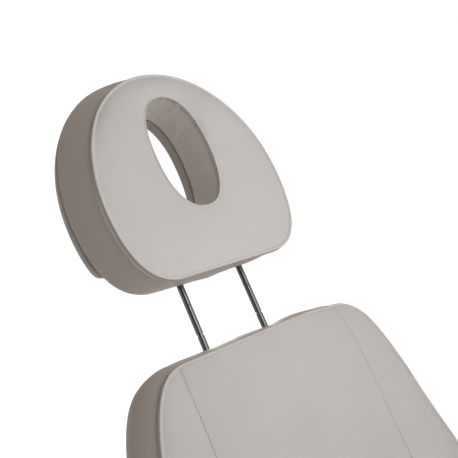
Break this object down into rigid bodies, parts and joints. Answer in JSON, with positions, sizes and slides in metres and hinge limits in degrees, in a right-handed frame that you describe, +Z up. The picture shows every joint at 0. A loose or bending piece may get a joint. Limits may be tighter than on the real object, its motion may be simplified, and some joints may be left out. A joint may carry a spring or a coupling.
{
  "type": "electric treatment chair",
  "caption": "Reclining treatment chair on a motor lift column, with a raising backrest, lowering leg rest, flip-up armrests and a rod-mounted headrest with a face hole.",
  "frame": {"origin": "on the floor, below the middle of the chair's box, on the lift column's axis", "axes": "+X across the chair towards its foot control, +Y towards the headrest, +Z up"},
  "size_m": [0.779, 1.7789, 1.4884],
  "materials": {
    "leather_head": "satin",
    "leather_back": "satin",
    "leather_arm": "satin",
    "board_dark": "matte",
    "rod_chrome": "polished",
    "frame_paint": "satin",
    "steel_plain": "satin",
    "aluminium_stage": "satin",
    "shell_plastic": "satin",
    "dark_plastic": "matte",
    "foot_rubber": "matte"
  },
  "bodies": {
    "base": {"feet": "foot_rubber", "foot_studs": "steel_plain", "base_frame": "steel_plain", "base_cover": "shell_plastic", "control_box": "dark_plastic", "mains_inlet": "dark_plastic", "column_outer": "aluminium_stage", "shroud_lower": "shell_plastic", "lift_motor": "steel_plain", "pedal_console": "dark_plastic", "pedal_pins": "steel_plain"},
    "pedal_height": {"pedal_height": "shell_plastic"},
    "pedal_back": {"pedal_back": "shell_plastic"},
    "pedal_legs": {"pedal_legs": "shell_plastic"},
    "column_middle": {"column_middle": "aluminium_stage", "shroud_middle": "shell_plastic", "lift_screw": "steel_plain"},
    "seat": {"column_inner": "aluminium_stage", "shroud_upper": "shell_plastic", "lift_push_tube": "steel_plain", "head_plate": "steel_plain", "seat_rails": "frame_paint", "cross_members": "frame_paint", "back_hinge_plates": "frame_paint", "back_shaft": "steel_plain", "leg_shaft": "steel_plain", "seat_board": "board_dark", "seat_cushion": "leather_back", "back_drive": "dark_plastic", "back_motor": "aluminium_stage", "leg_drive": "dark_plastic", "leg_motor": "aluminium_stage", "armrest_brackets": "frame_paint", "armrest_pins": "steel_plain"},
    "back_crosshead": {"back_crosshead": "rod_chrome", "back_crosshead_pin": "steel_plain", "back_rollers": "steel_plain"},
    "leg_crosshead": {"leg_crosshead": "rod_chrome", "leg_crosshead_pin": "steel_plain", "leg_rollers": "steel_plain"},
    "backrest": {"backrest_frame": "frame_paint", "backrest_lever": "frame_paint", "back_bushes": "steel_plain", "backrest_board": "board_dark", "backrest_cushion": "leather_back", "rod_guides": "steel_plain", "guide_clamps": "dark_plastic"},
    "headrest": {"headrest_rods": "rod_chrome", "rod_carrier": "steel_plain", "headrest_board": "board_dark", "headrest_cushion": "leather_head"},
    "leg_rest": {"leg_frame": "frame_paint", "leg_levers": "frame_paint", "leg_bushes": "steel_plain", "leg_board": "board_dark", "leg_cushion": "leather_back"},
    "armrest_left": {"armrest_left_arm": "frame_paint", "armrest_left_pad": "leather_arm"},
    "armrest_right": {"armrest_right_arm": "frame_paint", "armrest_right_pad": "leather_arm"}
  },
  "joints": [
    {"name": "lift", "type": "slide", "parent": "base", "child": "seat", "axis": [0, 0, 1], "range_m": [0, 0.26]},
    {"name": "column_stage", "type": "slide", "parent": "base", "child": "column_middle", "axis": [0, 0, 1], "range_m": [0, 0.13]},
    {"name": "backrest_recline", "type": "hinge", "parent": "seat", "child": "backrest", "pos_m": [0, 0.105, 0.575], "axis": [1, 0, 0], "range_deg": [-52.3, 22.7]},
    {"name": "back_drive_stroke", "type": "slide", "parent": "seat", "child": "back_crosshead", "axis": [0, 1, 0], "range_m": [-0.1265, 0.055]},
    {"name": "leg_rest_swing", "type": "hinge", "parent": "seat", "child": "leg_rest", "pos_m": [0, -0.375, 0.465], "axis": [1, 0, 0], "range_deg": [-20, 50]},
    {"name": "leg_drive_stroke", "type": "slide", "parent": "seat", "child": "leg_crosshead", "axis": [0, 1, 0], "range_m": [-0.0272, 0.0678]},
    {"name": "headrest_slide", "type": "slide", "parent": "backrest", "child": "headrest", "axis": [0, 0.6115, 0.7912], "range_m": [-0.075, 0.04]},
    {"name": "armrest_left_swing", "type": "hinge", "parent": "seat", "child": "armrest_left", "pos_m": [-0.335, -0.005, 0.625], "axis": [-1, 0, 0], "range_deg": [0, 95]},
    {"name": "armrest_right_swing", "type": "hinge", "parent": "seat", "child": "armrest_right", "pos_m": [0.335, -0.005, 0.625], "axis": [-1, 0, 0], "range_deg": [0, 95]},
    {"name": "pedal_height_rock", "type": "hinge", "parent": "base", "child": "pedal_height", "pos_m": [0.2938, -0.11, 0.046], "axis": [1, 0, 0], "range_deg": [-5, 5], "stiffness_Nm_per_rad": 8},
    {"name": "pedal_back_rock", "type": "hinge", "parent": "base", "child": "pedal_back", "pos_m": [0.2938, 0, 0.046], "axis": [1, 0, 0], "range_deg": [-5, 5], "stiffness_Nm_per_rad": 8},
    {"name": "pedal_legs_rock", "type": "hinge", "parent": "base", "child": "pedal_legs", "pos_m": [0.2938, 0.11, 0.046], "axis": [1, 0, 0], "range_deg": [-5, 5], "stiffness_Nm_per_rad": 8}
  ],
  "couplings": [
    {"joint": "column_stage", "follows": "lift", "ratio": 0.5},
    {"joint": "back_drive_stroke", "follows": "backrest_recline", "m_per_rad": 0.1382},
    {"joint": "leg_drive_stroke", "follows": "leg_rest_swing", "m_per_rad": 0.07735}
  ]
}
